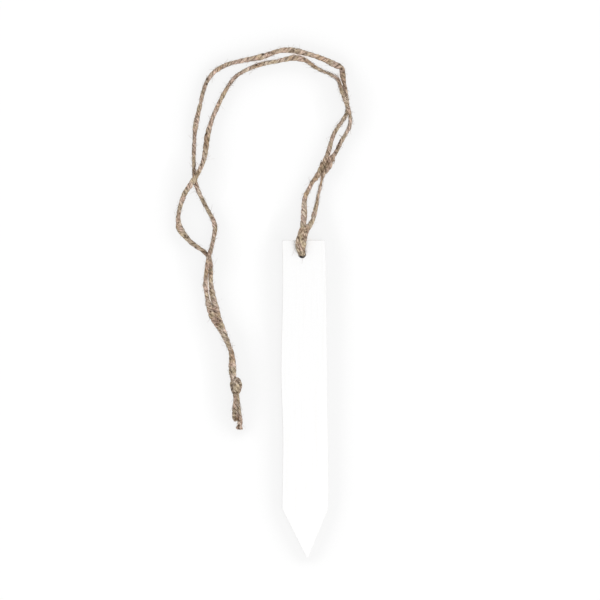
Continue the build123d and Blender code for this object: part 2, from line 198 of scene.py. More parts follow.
# Dark brown specks on the twine, from the throat too. Some are painted shade: in the gap
# where the legs part at the throat, in the line where the hitch bends over the head's edge,
# and between the strands where both legs cross. For each reach: across, along and
# strength
SPECKS_AND_GAP_SHADE = {
    0.0003: ((-0.0225, -0.0543, 0.5),),
    0.0004: (
        (-0.0001, 0.0003, 0.75), (0.0003, -0.0005, 0.6), (0.0145, 0.0355, 0.8), (0.0058, 0.0544, 0.6),
        (0.0085, 0.0591, 0.5), (-0.0031, 0.0619, 0.6), (-0.032, 0.0373, 0.5), (-0.0417, -0.0028, 1),
        (-0.0409, -0.0032, 0.8), (-0.0335, -0.0178, 0.6), (-0.033, -0.021, 0.9), (-0.0333, -0.0272, 0.6),
        (-0.0257, -0.0499, 0.8), (-0.0235, -0.057, 0.7), (-0.0241, -0.0596, 0.6), (-0.0239, -0.0614, 0.5),
        (-0.0252, -0.0643, 0.5), (-0.0232, -0.0695, 0.5), (-0.00035, -0.0015, 0.7),
        (0.00035, -0.00155, 0.7), (0.00035, -0.0035, 0.7), (-0.0247, -0.0626, 0.6), (-0.0249, -0.0656, 0.6),
        (-0.0241, -0.0633, 0.45), (-0.0243, -0.0653, 0.7), (-0.0243, -0.0572, 0.8), (-0.0245, -0.0521, 0.7),
        (-0.025, -0.0528, 0.6), (-0.0224, -0.0543, 0.6), (-0.0232, -0.0536, 0.6), (0.0076, 0.0219, 0.5),
        (0.0073, 0.023, 0.45), (0.0064, 0.0212, 0.45), (0.0062, 0.0203, 0.45), (0.0072, 0.0208, 0.45),
        (0.0069, 0.0193, 0.5), (0.0083, 0.0256, 0.8), (0.0037, 0.0175, 0.5), (0.0114, 0.0284, 0.8),
        (0.0145, 0.0365, 0.6), (-0.0221, 0.0582, 0.5), (-0.0262, 0.0503, 0.5), (-0.0303, 0.0432, 0.6),
        (-0.0367, 0.0422, 0.6), (-0.0392, 0.0325, 0.5), (-0.0386, 0.0205, 0.6), (-0.0336, 0.0342, 0.6),
        (-0.0432, 0.0065, 0.6), (-0.044, 0.0018, 0.7), (-0.0324, 0.0035, 0.6), (-0.0318, -0.0045, 0.7),
        (-0.0345, -0.0125, 0.6), (-0.0352, -0.0203, 0.6), (-0.0304, -0.0315, 0.6),
    ),
    0.0005: (
        (-0.001, -0.004, 0.7), (-0.0024, -0.0035, 0.6), (-0.0022, -0.0072, 0.5), (-0.0013, 0.0099, 0.8),
        (0.0104, 0.026, 0.8), (0.0125, 0.0551, 0.8), (0.0003, 0.0602, 0.6), (-0.0042, 0.0613, 0.8),
        (-0.0117, 0.0606, 0.6), (-0.0171, 0.0564, 0.8), (-0.0342, 0.0498, 1), (-0.0344, 0.0326, 0.95),
        (-0.0361, 0.0217, 0.7), (-0.0418, 0.012, 0.6), (-0.038, 0.0135, 0.6), (-0.0347, 0.0078, 0.7),
        (-0.0382, -0.0068, 0.8), (-0.0329, -0.0229, 0.5), (-0.0325, -0.0265, 0.7), (-0.033, -0.0291, 0.9),
        (-0.0317, -0.0288, 0.5), (-0.0256, -0.0425, 0.4), (-0.0243, -0.0519, 0.6), (-0.0256, -0.056, 0.6),
        (-0.0253, -0.0572, 0.5), (-0.0247, -0.0571, 0.8), (-0.0242, -0.0643, 0.8), (-0.0244, -0.0664, 0.75),
        (-0.0231, -0.0685, 0.9), (-0.0005, -0.0078, 0.5), (-0.0249, -0.0571, 0.9), (0.0063, 0.0227, 0.4),
        (0.0057, 0.0194, 0.5), (0.0092, 0.0241, 0.5), (0.0021, 0.0162, 0.5), (0.0118, 0.0302, 0.9),
        (-0.0297, -0.0323, 0.7),
    ),
    0.0006: (
        (-0.0002, -0.0034, 0.6), (-0.0009, -0.0053, 0.4), (-0.0026, -0.0061, 0.5), (0.0108, 0.0277, 0.9),
        (0.0115, 0.0295, 0.9), (0.014, 0.0393, 0.5), (0.0132, 0.0539, 0.6), (0.0128, 0.0502, 0.6),
        (-0.0003, 0.0582, 0.6), (-0.0148, 0.0602, 1), (-0.0128, 0.0607, 0.7), (-0.0342, 0.0515, 0.8),
        (-0.0378, 0.0384, 0.6), (-0.0378, 0.0186, 0.7), (-0.0411, 0.0134, 0.6), (-0.0353, -0.0084, 0.6),
        (-0.0342, -0.0087, 0.7), (-0.0331, -0.0159, 0.7), (-0.0308, -0.0333, 0.7), (-0.0307, -0.0349, 0.6),
        (-0.0254, -0.0545, 0.6),
    ),
    0.0008: (
        (0.006, 0.0204, 0.3), (0.0084, 0.025, 0.3), (0.0127, 0.0374, 0.4),
    ),
    0.0009: ((0.0077, 0.0221, 0.35),),
}
# Brown where the ends have frayed: across, along, reach and strength
FRAYED = (
    (-0.0236, -0.066, 0.0007, 0.95), (-0.0238, -0.0652, 0.0005, 0.5), (-0.0232, -0.0695, 0.0006, 0.25),
)
# Stretches that are darker and browner, or paler where the last number is positive
STRETCHES = (
    (0.0062, 0.0215, 0.0035, -0.9), (0.0132, 0.054, 0.003, -0.8), (0.013, 0.0505, 0.0025, -0.6),
    (-0.0345, 0.0288, 0.0038, -1.2), (-0.039, 0.029, 0.002, 1), (-0.0099, 0.0581, 0.0035, 0.9),
    (-0.0145, 0.057, 0.002, 0.6), (-0.0433, 0.0085, 0.003, 0.8), (-0.04, -0.005, 0.0045, -0.8),
    (-0.0352, -0.0085, 0.002, -0.6), (-0.032, 0.04, 0.004, 0.6), (0.015, 0.035, 0.0035, 0.6),
    (0.015, 0.043, 0.0025, 0.7), (0.0035, 0.0045, 0.0025, 0.6), (-0.034, 0.005, 0.0025, 0.6),
    (-0.0345, -0.0205, 0.003, 0.5), (-0.024, -0.064, 0.0025, -0.8), (-0.0225, 0.058, 0.003, 0.5),
    (-0.031, -0.031, 0.0025, -0.4), (-0.028, 0.0563, 0.003, 0.5), (-0.0228, -0.0528, 0.0013, -1.8),
    (-0.0224, -0.054, 0.0008, -0.5), (-0.0257, -0.0552, 0.001, -1.1), (-0.0243, -0.0553, 0.0011, 1),
    (-0.0228, -0.056, 0.001, -0.7), (-0.0008, -0.0022, 0.0028, 0.7), (-0.001, -0.0068, 0.0022, 0.5),
    (-0.0257, -0.0558, 0.0011, -1.6), (-0.0246, -0.0645, 0.0014, -0.5), (-0.0238, -0.0526, 0.0008, -0.8),
    (0.0012, -0.0012, 0.0016, 0.6), (-0.0022, -0.0032, 0.0014, 0.6), (0.0006, -0.0034, 0.0012, 0.5),
)
# Single fibres that stand out, from the throat: start, end, half the width and the shade
FIBRES = (
    (0.01267, 0.03142, 0.01163, 0.0322, 0.00012, 0), (0.01215, 0.0349, 0.01337, 0.0356, 0.00005, 0.6),
    (-0.0373, 0.0116, -0.0382, 0.0125, 0.00007, 0.5), (-0.0021, 0.0623, -0.0021, 0.0637, 0.00005, 0.8),
    (-0.0255, -0.0409, -0.0244, -0.0407, 0.00006, 0.7), (0.0101, 0.0236, 0.00975, 0.0221, 0.00022, 0.4),
    (0.0055, 0.0235, 0.0049, 0.0217, 0.0002, 0.5), (-0.0031, -0.005, -0.0034, -0.0066, 0.00008, 0.9),
    (-0.045, 0.0004, -0.0443, -0.0014, 0.0002, 0.5), (-0.0243, -0.0625, -0.0252, -0.0642, 0.00016, 0.1),
    (-0.0246, -0.0635, -0.0252, -0.0655, 0.00014, 0.2), (-0.0238, -0.0645, -0.0247, -0.0668, 0.00016, 0),
    (-0.0228, -0.0675, -0.0242, -0.0693, 0.00016, 0.7), (-0.0226, -0.0683, -0.0236, -0.0701, 0.00016, 0.8),
)
# The legs' first points: across from the hole to both legs' middle, half the distance
# between the legs, and along and up from the back of the stake's tip
LEG_START = (
    (0.00005, 0.0005, 0.105, 0.0008), (0, 0.0006, 0.1051, 0.0022), (-0.0004, 0.0008, 0.1064, 0.0029),
    (-0.00055, 0.0011, 0.1083, 0.003), (-0.00032, 0.00098, 0.11, 0.0029),
    (0.00002, 0.00088, 0.1117, 0.0026),
)
# The fold of the hitch, from the hole round the head's edge: across from the hole, along
# and up from the back of the stake's tip
HITCH_PLACES = (
    (-0.0005, 0.105, 0.0023), (-0.0005, 0.105, 0.001), (-0.0005, 0.105, 0.0001),
    (-0.00055, 0.1051, -0.00055), (-0.00065, 0.1065, -0.00058), (-0.00085, 0.1088, -0.00058),
    (-0.001, 0.1103, -0.00055), (-0.0011, 0.1111, 0.0002), (-0.00115, 0.1114, 0.0016),
    (-0.0011, 0.1116, 0.0028), (-0.0007, 0.1119, 0.0036), (0.0001, 0.1124, 0.0039),
    (0.0009, 0.113, 0.00385), (0.0014, 0.1132, 0.0033), (0.0016, 0.1131, 0.0023), (0.0016, 0.1126, 0.0012),
    (0.0014, 0.1116, 0.0001), (0.0012, 0.1104, -0.00055), (0.001, 0.1088, -0.00058),
    (0.0007, 0.1065, -0.00058), (0.00055, 0.1051, -0.00055), (0.0005, 0.105, 0.0001),
    (0.0005, 0.105, 0.001), (0.0005, 0.105, 0.0023),
)
# The strand of the hitch that shows between both legs, from the hole to where they part
CORE_PLACES = (
    (-0.00015, 0.105, 0.0012), (-0.0002, 0.1055, 0.0027), (-0.00045, 0.107, 0.0031),
    (-0.00045, 0.1086, 0.0032), (-0.0002, 0.1102, 0.0031), (0.0003, 0.112, 0.003), (0.0009, 0.1134, 0.0029),
    (0.0014, 0.1145, 0.0026), (0.0018, 0.1153, 0.0021),
)
# The legs' places in the knot, where they change sides: run along it, and across
IN_KNOT = ((0, 0.0003), (KNOT_LENGTH, -0.0003), (KNOT_LENGTH + 0.0015, -0.00042))
# Knot places: run along the knot, across it, and height
KNOT_LOOP = (
    (0.0017, -0.0005, 0.0018), (0.0009, -0.0002, 0.003), (0.0002, 0.0004, 0.0036), (0, 0.0012, 0.0037),
    (0.0006, 0.0019, 0.0035), (0.0018, 0.0022, 0.0031), (0.0033, 0.002, 0.0027), (0.0046, 0.0014, 0.0021),
    (0.0052, 0.0006, 0.0012), (0.005, -0.0001, 0.0007),
)
KNOT_OVER = (
    (0.0009, 0.0009, 0.0022), (0.0015, 0.00095, 0.0035), (0.0025, 0.00065, 0.004),
    (0.00355, 0.00015, 0.004), (0.0045, -0.00035, 0.0035), (0.0052, -0.0005, 0.0024),
)
KNOT_SIDE = (
    (0.0006, -0.0004, 0.0012), (0.0013, -0.0008, 0.002), (0.0026, -0.0009, 0.0025),
    (0.004, -0.00085, 0.0022), (0.005, -0.0005, 0.0012),
)
KNOT_UNDER = (
    (0.0006, 0.0008, 0.0026), (0.0014, 0.0012, 0.0035), (0.0027, 0.0013, 0.0036), (0.004, 0.0011, 0.0032),
    (0.0051, 0.0006, 0.002),
)
# Each turn of the knot: its places, its share of the twine's width and its seed
KNOT_TURNS = {"knot_loop": (KNOT_LOOP, 0.72, 101), "knot_over": (KNOT_OVER, 0.88, 131),
              "knot_side": (KNOT_SIDE, 0.7, 151), "knot_under": (KNOT_UNDER, 0.8, 171)}
# Each leg: its side, the nodes it stands for, its places, its height in the knot, how far
# its end has opened over which length, its seed, its fibres' seed, and the cord's length
LEGS = {
    "twine_left": {"side": -1, "nodes": ("twine_leg_left", "tail_short"),
                   "places": LEFT_PLACES, "tail": SHORT_TAIL_PLACES, "up": OVER,
                   "opened": (0.4, 0.003), "seed": 21, "hair_seed": 301, "length": 0.243},
    "twine_right": {"side": 1, "nodes": ("twine_leg_right", "tail_long"),
                    "places": RIGHT_PLACES, "tail": LONG_TAIL_PLACES, "up": FLAT,
                    "opened": (0.6, 0.0026), "seed": 47, "hair_seed": 401, "length": 0.237},
}


def linear(code):
    """An sRGB hex colour as linear red, green, blue and alpha. A channel c up to 0.04045 is
    divided by 12.92, and above that it is (c + 0.055) / 1.055 to the power 2.4."""
    channels = [int(code[i:i + 2], 16) / 255 for i in (1, 3, 5)]
    return (*(c / 12.92 if c <= 0.04045 else ((c + 0.055) / 1.055) ** 2.4 for c in channels), 1.0)


def add_node(tree, kind, links=None, **settings):
    """Adds a node with its settings. Each entry of links gives one input a value, another
    node's output, or another node, whose first output in use then feeds it."""
    node = tree.nodes.new("ShaderNode" + kind)
    for name, value in settings.items():
        setattr(node, name, value)
    for name, value in (links or {}).items():
        if isinstance(value, bpy.types.Node):
            value = next(output for output in value.outputs if output.enabled)
        if isinstance(value, bpy.types.NodeSocket):
            tree.links.new(value, node.inputs[name])
        else:
            node.inputs[name].default_value = value
    return node


def new_material(name):
    """A material with an empty node tree."""
    material = bpy.data.materials.new(name)
    material.use_nodes = True
    material.node_tree.nodes.clear()
    return material, material.node_tree


# Shapes


def on_stake(places):
    """Points from places across from the hole, and along and up from the back of the
    stake's tip: along and up are turned by the stake's lean about the table's edge line."""
    across, along, up = np.array(places, float).T
    lean_cos, lean_sin = math.cos(REST_LEAN), math.sin(REST_LEAN)
    return np.stack([HOLE_ACROSS + across, along * lean_cos - up * lean_sin - BLADE_MIDDLE,
                     along * lean_sin + up * lean_cos], -1)


def from_throat(places):
    """Points from places measured from the hitch's throat. Later columns don't count."""
    return np.array(places, float)[:, :3] + (*THROAT, 0)


def beside_knot(places):
    """Points from places along the knot's line from its start, across from it, and up."""
    run, across, up = np.array(places, float).T
    return np.stack([KNOT_START[0] + KNOT_RUN[0] * run - KNOT_RUN[1] * across,
                     KNOT_START[1] + KNOT_RUN[1] * run + KNOT_RUN[0] * across, up], -1)


def unit(vectors):
    """Vectors divided by their lengths."""
    return vectors / np.maximum(np.linalg.norm(vectors, axis=-1, keepdims=True), 1e-12)


def waver(along, seed, shortest, longest, waves=7):
    """A smooth irregular value along a length, mostly between -1 and 1: 0.8 times the sum of
    cosines with random wavelengths between the shortest and longest, and random starts,
    over the square root of their number."""
    rng = np.random.default_rng(seed)
    lengths = rng.uniform(shortest, longest, waves)
    starts = rng.uniform(0, 2 * np.pi, waves)
    return np.cos(2 * np.pi * along[..., None] / lengths + starts).sum(-1) / math.sqrt(waves) * 0.8


def spline_line(points, step):
    """The middle line of a route: its points are the control points of one open NURBS
    spline, which is read back as Blender works it out and spaced evenly."""
    curve = bpy.data.curves.new("route", "CURVE")
    curve.dimensions = "3D"
    curve.resolution_u = 48
    spline = curve.splines.new("NURBS")
    spline.points.add(len(points) - 1)
    spline.points.foreach_set("co", np.c_[points, np.ones(len(points))].ravel())
    spline.order_u = 3
    spline.use_endpoint_u = True
    route = bpy.data.objects.new("route", curve)
    bpy.context.collection.objects.link(route)
    mesh = bpy.data.meshes.new_from_object(route)
    read = np.zeros(len(mesh.vertices) * 3)
    mesh.vertices.foreach_get("co", read)
    read = read.reshape(-1, 3)
    bpy.data.objects.remove(route)
    bpy.data.curves.remove(curve)
    bpy.data.meshes.remove(mesh)
    run = np.r_[0, np.cumsum(np.linalg.norm(np.diff(read, axis=0), axis=1))]
    at = np.linspace(0, run[-1], int(run[-1] / step) + 2)
    return np.stack([np.interp(at, run, read[:, i]) for i in range(3)], 1)


def frames_along(line, inwards=(0, 0, 1)):
    """Directions at each point of a line: forward along it, and two across it. The first
    is the part of the given direction that is square to forward, and the second is the
    cross product of forward and the first."""
    steps = np.linalg.norm(np.diff(line, axis=0), axis=1)
    forward = unit(np.gradient(line, axis=0))
    inwards = np.broadcast_to(np.array(inwards, float), line.shape)
    first = unit(inwards - (inwards * forward).sum(1, keepdims=True) * forward)
    return {"line": line, "run": np.r_[0, np.cumsum(steps)], "forward": forward, "first": first,
            "second": np.cross(forward, first)}


def put_mesh(name, tubes, lengths, around, material, **attributes):
    """A piece on the root body, of closed tubes from an array of tubes, rings, sides and
    coordinates. Each ring is joined to the next by one face a side, and both end rings are
    closed. The map holds the length along the tube and the distance around it, in metres."""
    count, rings, sides, _ = tubes.shape
    first = (np.arange(count) * rings * sides)[:, None, None]
    side = np.arange(sides)[None, None, :]
    after = (side + 1) % sides
    ring = first + (np.arange(rings - 1) * sides)[None, :, None]
    quads = np.stack([ring + side, ring + after, ring + sides + after, ring + sides + side], -1)
    ends = np.stack([first[:, 0] + side[0, :, ::-1], first[:, 0] + (rings - 1) * sides + side[0]], 1)
    loops = np.concatenate([quads.ravel(), ends.ravel()])
    totals = np.concatenate([np.full(quads.size // 4, 4), np.full(count * 2, sides)])
    mesh = bpy.data.meshes.new(name)
    mesh.vertices.add(tubes.size // 3)
    mesh.vertices.foreach_set("co", tubes.astype(np.float32).ravel())
    mesh.loops.add(len(loops))
    mesh.loops.foreach_set("vertex_index", loops.astype(np.int32))
    mesh.polygons.add(len(totals))
    mesh.polygons.foreach_set("loop_start", np.r_[0, np.cumsum(totals)[:-1]].astype(np.int32))
    mesh.polygons.foreach_set("use_smooth", np.ones(len(totals), bool))
    mesh.update(calc_edges=True)
    from_ring, to_ring = lengths[:, :-1], lengths[:, 1:]
    u = np.stack([from_ring, from_ring, to_ring, to_ring], -1)[:, :, None]
    v = np.stack([side, side + 1, side + 1, side], -1) * around / sides
    faces = np.stack([np.broadcast_to(u, quads.shape), np.broadcast_to(v, quads.shape)], -1)
    end_u = np.broadcast_to(lengths[:, [0, -1]][:, :, None], ends.shape)
    caps = np.stack([end_u, np.zeros(ends.shape)], -1)
    layer = mesh.uv_layers.new(name="fibre_lay")
    uv = np.concatenate([faces.reshape(-1, 2), caps.reshape(-1, 2)])
    layer.data.foreach_set("uv", uv.astype(np.float32).ravel())
    for key, values in attributes.items():
        layer = mesh.attributes.new(key, "FLOAT", "POINT")
        values = np.broadcast_to(values, tubes.shape[:3]).astype(np.float32)
        layer.data.foreach_set("value", values.ravel())
    mesh.materials.append(material)
    piece = bpy.data.objects.new(name, mesh)
    bpy.context.collection.objects.link(piece)
    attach(piece, "root")
    return piece


def laid_plies(frames, width, turn, start, seed, opening):
    """Two plies laid round a line, as an array of plies, rings, sides and coordinates.

    The plies' angle grows by a full turn in each turn's length, and the second ply is half
    a turn behind. A ply's middle stands off from the line by a share of the width at that
    angle, in the left-handed sense of an S lay. Its section is an ellipse whose half sizes
    are shares of the width, times one plus a slow lumpiness and low ridges that wind the
    other way, as spun fibres do. Where an end has opened, the plies stand off by up to 0.2
    of the width more and are up to 0.3 thinner."""
    run, line = frames["run"], frames["line"]
    local_turn = turn * (1 + 0.16 * waver(run, seed, *LAY_WAVES) + 0.24 * waver(run, seed + 3, *DRIFT_WAVES))
    angle = start + np.r_[0, np.cumsum(2 * np.pi * np.diff(run) / local_turn[1:])]
    angle = np.stack([angle, angle + np.pi])[..., None]
    away = np.cos(angle) * frames["first"] - np.sin(angle) * frames["second"]
    across = np.cross(np.broadcast_to(frames["forward"], away.shape), away)[:, :, None, :]
    theta = np.linspace(0, 2 * np.pi, PLY_SIDES, endpoint=False)
    lumps = np.stack([waver(run, seed + 1 + ply, *LUMP_WAVES) for ply in (0, 1)])[..., None]
    winding = theta - 2 * np.pi * run[:, None] / RIDGE_TURN
    ridges = sum(np.cos(m * winding + 3 * waver(run, seed + 10 + m, *RIDGE_WAVES)[:, None])
                 for m in (4, 6, 7)) / 3
    width = width[None, :, None]
    size = width * (1 + 0.1 * lumps) * (1 + 0.06 * ridges[None])
    opening = np.broadcast_to(opening, run.shape)[None, :, None]
    middle_off = width * (PLY_OFF_SHARE + 0.2 * opening)
    thinned = 1 - 0.3 * opening
    plies = (line[None, :, None, :]
             + away[:, :, None, :] * (middle_off + PLY_DEEP_SHARE * size * np.cos(theta) * thinned)[..., None]
             + across * (PLY_BROAD_SHARE * size * np.sin(theta) * thinned)[..., None])
    # What would sink into the table is pressed flat on it
    plies[..., 2] = np.maximum(plies[..., 2], 0.00001)
    return plies


def crease_of(frames, plies, width, seed):
    """Painted shade in the creases between the plies, for each point of a ply's skin: none on
    the outer half, rising to one on the inner side, times a slow waver along the line. The
    flanks, less than a quarter of the width above the twine's middle, get painted shade of up to 0.4."""
    theta = np.linspace(0, 2 * np.pi, PLY_SIDES, endpoint=False)
    depth = np.clip((0.12 - np.cos(theta)) / 0.8, 0, 1)
    strength = np.clip(0.48 + 0.5 * waver(frames["run"], seed, *CREASE_SHADE_WAVES), 0.06, 0.95)
    up = (plies[..., 2] - frames["line"][None, :, None, 2]) / width[None, :, None]
    return np.maximum(strength[None, :, None] * depth[None, None, :], np.clip(0.5 - 2.2 * up, 0, 0.4))


def near_marks(plies, marks):
    """What the marks give each point of the plies, for each mark apart: its strength times
    e to the power minus the squared level distance to it over its reach."""
    reach, strength = np.array(marks)[:, 2:].T
    away = plies[..., None, :2] - from_throat(marks)[:, :2]
    return strength * np.exp(-(away ** 2).sum(-1) / reach ** 2)


def add_twine(name, frames, width, settings, seed, start, turn=1, around=1, opening=0):
    """A piece of two-ply twine along a line. The turn and the distance around it are shares
    of the twine's own. Where the strongest speck is over 0.15 of full strength, it browns
    the skin by 1.7 times itself less a quarter, so that it has a firm edge; some specks are
    painted shade in the gaps between strands. Each ply has a shade around a half, with a slow
    waver of its own and the darker and paler stretches."""
    run = frames["run"]
    plies = laid_plies(frames, width, settings.ply_turn * turn, start, seed, opening)
    specks_and_gap_shade = [(*spot[:2], reach, spot[2]) for reach, spots in SPECKS_AND_GAP_SHADE.items() for spot in spots]
    own = np.stack([0.5 + 0.2 * waver(run, seed + ply, *TONE_WAVES) for ply in (5, 6)])[..., None]
    around = math.pi * 0.65 * settings.twine_width * around
    return put_mesh(name, plies, np.stack([run, run + PLY_MAP_STEP]), around,
                    bpy.data.materials["jute_twine_two_ply"], crease=crease_of(frames, plies, width, seed),
                    stain=np.clip(1.7 * near_marks(plies, specks_and_gap_shade).max(-1) - 0.25, 0, 1),
                    fray=near_marks(plies, FRAYED).max(-1),
                    shade=own + 0.45 * near_marks(plies, STRETCHES).sum(-1))


def surface_under(points):
    """The height of what lies under each point: the stake's front where the point is over
    the stake, and the table elsewhere."""
    x, y = points[..., 0], points[..., 1]
    over = (np.abs(x - FRONT_MIDDLE) < FRONT_HALF_WIDTH) & (y < FRONT_HEAD) & (y > FRONT_FOOT)
    return np.where(over, BLADE_THICKNESS + (y + BLADE_MIDDLE) * math.sin(REST_LEAN), 0)


def loose_hairs(frames, seed, count, length, lift, width, thickness, stretch=(0.0, 1.0)):
    """Loose fibres of the twine, as an array of fibres, rings, sides and coordinates.

    Each starts on the skin of the twine at a random place and angle. Its middle line is the
    start, plus its length times a heading and half a random bend times the square of the
    share along it. The heading leans from the twine's own direction, either way, outwards
    by a random lift. Its section is a triangle that thins towards the tip."""
    rng = np.random.default_rng(seed)
    at = rng.uniform(*stretch, count) * frames["run"][-1]
    line, forward, first, second = (
        np.stack([np.interp(at, frames["run"], frames[key][:, i]) for i in range(3)], 1)
        for key in ("line", "forward", "first", "second"))
    turn = rng.uniform(0, 2 * np.pi, (count, 1))
    out = np.cos(turn) * first + np.sin(turn) * second
    round_it = np.cross(forward, out)
    lean = rng.uniform(*lift, (count, 1))
    heading = unit(rng.choice([-1.0, 1.0], (count, 1)) * forward * np.cos(lean) + out * np.sin(lean)
                   + round_it * rng.normal(0, 0.35, (count, 1)))
    bend = rng.normal(0, 0.55, (count, 3)) - out * 0.25
    size = rng.uniform(*length, (count, 1, 1)) * rng.uniform(0.5, 1, (count, 1, 1))
    share = np.linspace(0, 1, FIBRE_RINGS)[None, :, None]
    root = line + out * width * 0.36
    middle = root[:, None] + size * (share * heading[:, None] + 0.5 * share ** 2 * bend[:, None])
    thick = thickness * rng.uniform(0.7, 1.3, (count, 1, 1)) * (1 - 0.6 * share)
    lengths = (share * size)[..., 0] + np.arange(count)[:, None] * FIBRE_MAP_STEP
    return hair_tubes(middle, thick, rng), lengths, rng.uniform(0, 1, (count, 1, 1))


def hair_tubes(middle, thick, rng):
    """Three-sided tubes round the middle lines of fibres: each ring's corners stand off by
    the half width there, at thirds of a turn. Nothing goes below what a fibre lies on."""
    middle[..., 2] = np.maximum(middle[..., 2], surface_under(middle) + thick[..., 0])
    forward = unit(np.gradient(middle, axis=1))
    first = unit(np.cross(forward, unit(rng.normal(size=(len(middle), 1, 3)))))
    second = np.cross(forward, first)
    theta = np.linspace(0, 2 * np.pi, 3, endpoint=False)[None, None, :, None]
    off = first[:, :, None] * np.cos(theta) + second[:, :, None] * np.sin(theta)
    return middle[:, :, None] + thick[..., None] * off


def single_fibres(seed):
    """The fibres that stand out: each runs from its start to its end, a little lower, and
    bends sideways by a tenth of its length times the share along it less that share's
    square. It thins to half towards its end."""
    rng = np.random.default_rng(seed)
    table = np.array(FIBRES)
    share = np.linspace(0, 1, FIBRE_RINGS)[None, :, None]
    start, end = (from_throat(np.c_[spots, np.full(len(table), up)])[:, None]
                  for spots, up in ((table[:, :2], FIBRE_START_UP), (table[:, 2:4], FIBRE_END_UP)))
    side = np.cross(end - start, (0, 0, 1.0))
    middle = start + (end - start) * share + 0.1 * side * (share - share ** 2)
    thick = table[:, 4][:, None, None] * (1 - 0.5 * share)
    lengths = (share[..., 0] * np.linalg.norm(end - start, axis=2)
               + np.arange(len(table))[:, None] * FIBRE_MAP_STEP)
    return hair_tubes(middle, thick, rng), lengths, table[:, 5][:, None, None]


def leg_line(leg, settings):
    """The middle line of one leg of the twine: it comes up out of the hole, crosses the
    stake's head under the hitch's band, lies in its loop, and goes through the knot to its
    tail."""
    start = [(shift + leg["side"] * half, along, up) for shift, half, along, up in LEG_START]
    in_knot = [(run, across * -leg["side"], leg["up"]) for run, across in IN_KNOT]
    points = [on_stake(start), from_throat(leg["places"]), beside_knot(in_knot), from_throat(leg["tail"])]
    return spline_line(np.concatenate(points), settings.ring_step)


def leg_width(frames, leg, settings):
    """The width of a leg along its run: the shares given with its places, joined by
    straight lines between the runs of the leg's points nearest to them, and pulled thin in
    the hole. All of it varies by about 0.07 either way in an irregular way."""
    run = frames["run"]
    places = leg["places"] + leg["tail"]
    away = frames["line"][:, :2] - from_throat(places)[:, None, :2]
    at = np.maximum.accumulate(run[np.linalg.norm(away, axis=2).argmin(1)])
    share = np.interp(run, np.r_[PULLED_RUNS, at], np.r_[PULLED_SHARES, [place[3] for place in places]])
    return settings.twine_width * share * (1 + 0.07 * waver(run, 5 + leg["side"], *WIDTH_WAVES))


def rounded_ends(run, reach):
    """A share of the width that falls off at both ends as a quarter circle does."""
    inner = np.clip(np.minimum(run, run[-1] - run) / reach, 0, 1)
    return np.sqrt(np.clip(1 - (1 - inner) ** 2, 0.06, 1))


# Finishes


